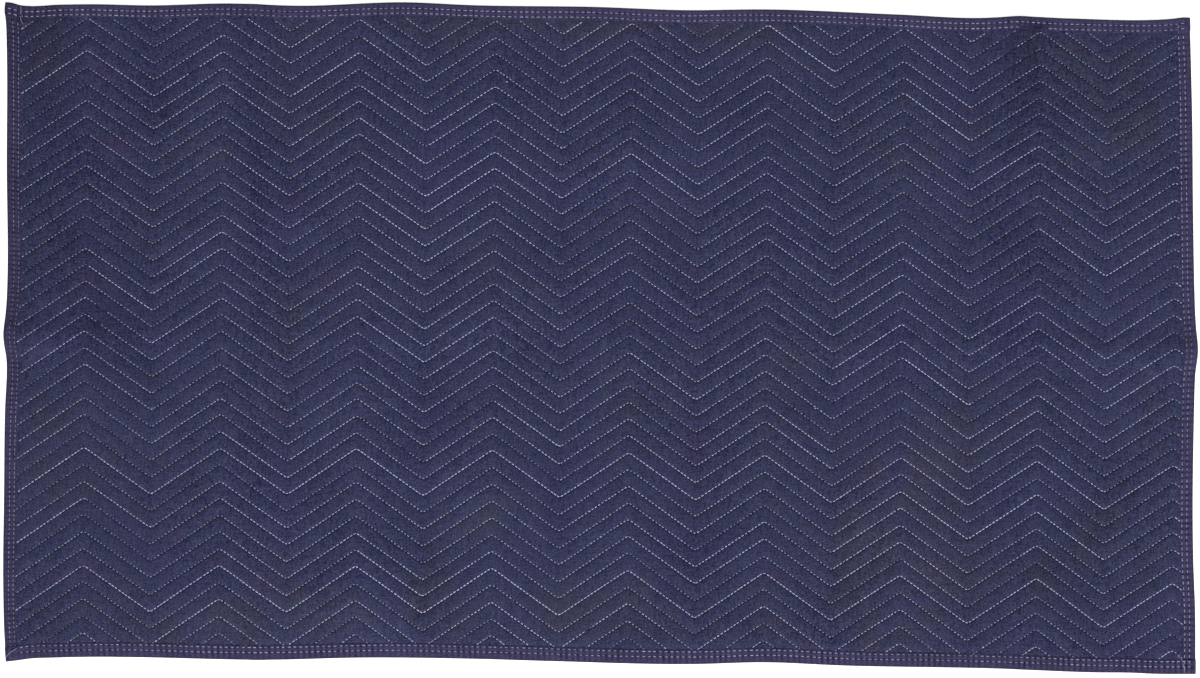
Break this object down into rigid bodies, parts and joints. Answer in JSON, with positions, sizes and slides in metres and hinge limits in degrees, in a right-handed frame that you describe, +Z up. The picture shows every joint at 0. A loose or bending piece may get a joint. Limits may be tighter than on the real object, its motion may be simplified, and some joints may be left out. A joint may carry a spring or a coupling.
{
  "type": "moving blanket",
  "caption": "Flat rectangular quilted moving blanket, sewn all over in close chevron rows and bound on every edge with folded woven tape.",
  "frame": {"origin": "on the surface that the blanket lies on, under the middle of its bounding box", "axes": "+X along the length, +Y across the width towards the top long edge, +Z up out of the quilted face"},
  "size_m": [1.8388, 1.0352, 0.0112],
  "materials": {
    "quilted_cloth": "matte woven navy cloth, mottled, quilted with light grey-lavender thread",
    "binding_tape": "matte woven purple-navy tape, stitched in two rows with light thread"
  },
  "bodies": {
    "root": {"quilted_panel": "quilted_cloth", "binding_top": "binding_tape", "binding_bottom": "binding_tape", "binding_left": "binding_tape", "binding_right": "binding_tape"}
  },
  "joints": []
}
